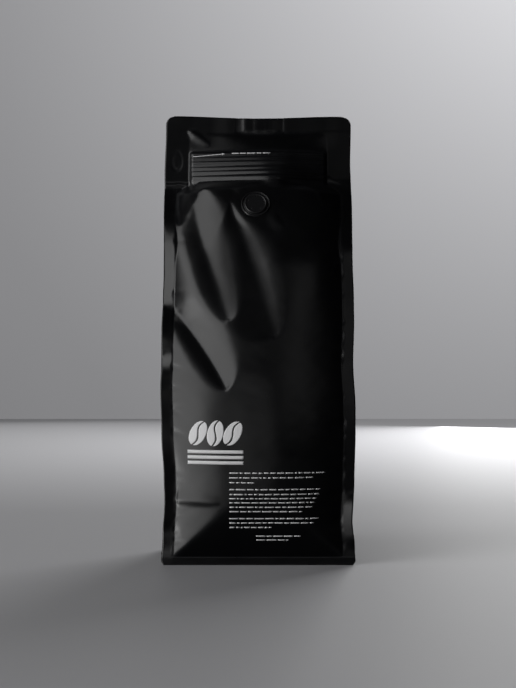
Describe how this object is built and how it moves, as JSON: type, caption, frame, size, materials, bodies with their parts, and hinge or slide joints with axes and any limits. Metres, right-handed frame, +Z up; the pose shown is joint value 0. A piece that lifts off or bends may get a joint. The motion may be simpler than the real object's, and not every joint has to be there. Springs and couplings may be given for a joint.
{
  "type": "flat-bottom coffee pouch",
  "caption": "Filled flat-bottom coffee pouch of matte black film, with sealed corner fins, a crimped top seal, a pull-tab zip across the front and a round one-way valve.",
  "frame": {"origin": "middle of the base, on the surface that the pouch stands on", "axes": "+Z up, +X to the right seen from the front, -Y out of the front panel with the valve and the zip"},
  "size_m": [0.1412, 0.1145, 0.331],
  "materials": {
    "film": "matte black laminated film with a soft satin sheen, creased and slightly puckered",
    "valve": "satin black moulded plastic",
    "print": "flat white ink on the film"
  },
  "bodies": {
    "root": {"pouch": "film", "degassing_valve": "valve"}
  },
  "joints": []
}
